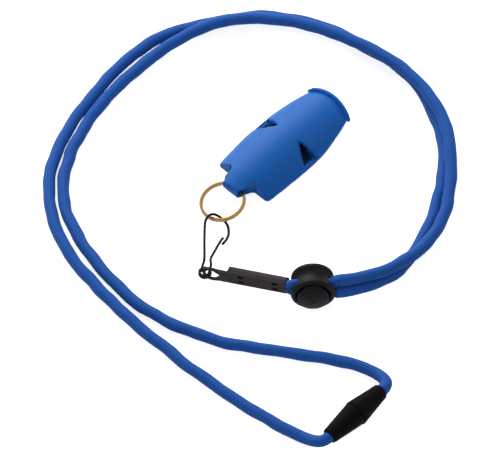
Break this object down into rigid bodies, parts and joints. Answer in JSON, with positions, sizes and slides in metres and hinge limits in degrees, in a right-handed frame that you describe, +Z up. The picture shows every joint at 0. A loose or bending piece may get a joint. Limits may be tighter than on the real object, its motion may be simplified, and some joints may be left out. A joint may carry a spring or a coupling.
{
  "type": "referee whistle",
  "caption": "Pealess referee whistle in blue plastic with split ring, wire snap hook, crimp clip, cord lock, braided cord lanyard and pull-apart neck clasp",
  "frame": {"origin": "centre of the whistle's flat underside, on the table", "axes": "+X towards the mouthpiece, +Y to the whistle's left side, +Z up"},
  "size_m": [0.1443, 0.1651, 0.0152],
  "materials": {
    "shell_plastic": "satin moulded",
    "ring_brass": "polished",
    "black_metal": "black oxide",
    "black_plastic": "satin moulded",
    "spring_steel": "plain",
    "braid": "braided"
  },
  "bodies": {
    "lanyard": {"cord_rear": "braid", "cord_front": "braid", "cord_ends": "braid", "crimp_clip": "black_metal", "clasp_socket": "black_plastic"},
    "hook": {"snap_hook": "black_metal"},
    "ring": {"split_ring": "ring_brass"},
    "whistle": {"upper_shell": "shell_plastic", "lower_shell": "shell_plastic"},
    "lock": {"lock_barrel": "black_plastic", "lock_spring": "spring_steel"},
    "plunger": {"lock_plunger": "black_plastic"},
    "plug": {"clasp_plug": "black_plastic"}
  },
  "joints": [
    {"name": "hook_swing", "type": "hinge", "parent": "lanyard", "child": "hook", "pos_m": [-0.0595, -0.0175, 0.0034], "axis": [0, 0, 1], "range_deg": [-25, 25]},
    {"name": "ring_swing", "type": "hinge", "parent": "hook", "child": "ring", "pos_m": [-0.0391, -0.005, 0.0014], "axis": [-0.5591, 0.8291, 0], "range_deg": [-8, 20]},
    {"name": "whistle_swing", "type": "hinge", "parent": "ring", "child": "whistle", "pos_m": [-0.0259, 0, 0.003], "axis": [0, 1, 0], "range_deg": [-40, 40]},
    {"name": "lock_slide", "type": "slide", "parent": "lanyard", "child": "lock", "axis": [0.7071, -0.7071, 0], "range_m": [0, 0.004], "deforming": ["cord_rear", "cord_front"]},
    {"name": "plunger_press", "type": "slide", "parent": "lock", "child": "plunger", "axis": [0.7071, 0.7071, 0], "range_m": [0, 0.0017], "stiffness_N_per_m": 400, "deforming": ["lock_spring"]},
    {"name": "clasp_pull", "type": "slide", "parent": "lanyard", "child": "plug", "axis": [1, 0, 0], "range_m": [0, 0.007], "deforming": ["cord_rear"]}
  ]
}
